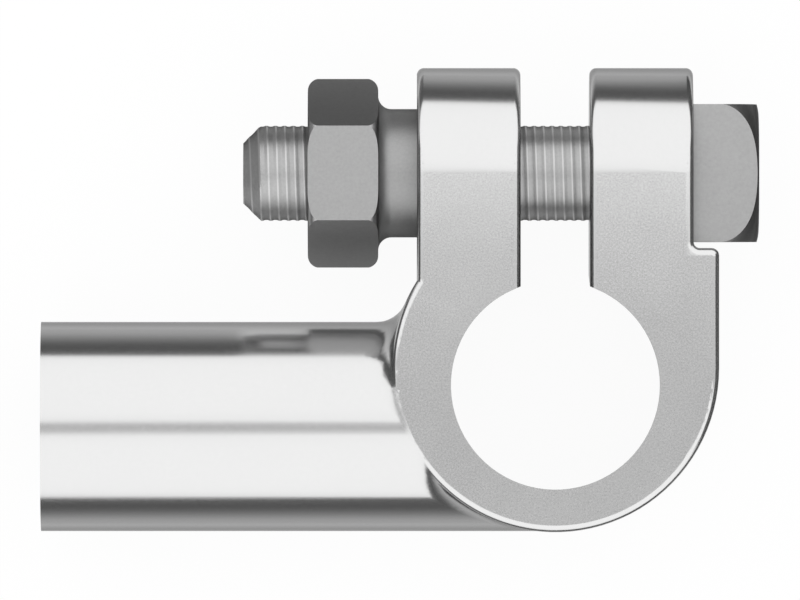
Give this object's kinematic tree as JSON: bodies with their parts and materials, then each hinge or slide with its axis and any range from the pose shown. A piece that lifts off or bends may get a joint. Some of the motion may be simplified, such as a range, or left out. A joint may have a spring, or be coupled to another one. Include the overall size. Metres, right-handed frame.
{
  "type": "battery terminal clamp",
  "caption": "Pinch clamp for a tapered round battery post: split ring with ears, square-head bolt, shoulder nut and hollow cable barrel.",
  "frame": {"origin": "on the axis of the post bore, in the plane of the wide-end face that the clamp rests on", "axes": "+X towards the square bolt head, +Y towards the pinch ears, +Z towards the narrow end of the bore"},
  "size_m": [0.0603, 0.039, 0.0177],
  "materials": {
    "tinned_casting": "satin",
    "bolt_steel": "satin",
    "nut_steel": "satin"
  },
  "bodies": {
    "clamp": {"clamp_body": "tinned_casting"},
    "bolt": {"clamp_bolt": "bolt_steel"},
    "nut": {"shoulder_nut": "nut_steel"}
  },
  "joints": [
    {"name": "nut_turn", "type": "hinge", "parent": "clamp", "child": "nut", "pos_m": [-0.0148, 0.0178, 0.00885], "axis": [-1, 0, 0], "range_deg": [0, 6840]},
    {"name": "bolt_slide", "type": "slide", "parent": "clamp", "child": "bolt", "axis": [1, 0, 0], "range_m": [0, 0.01425]}
  ],
  "couplings": [
    {"joint": "bolt_slide", "follows": "nut_turn", "m_per_rad": 0.00011937}
  ]
}
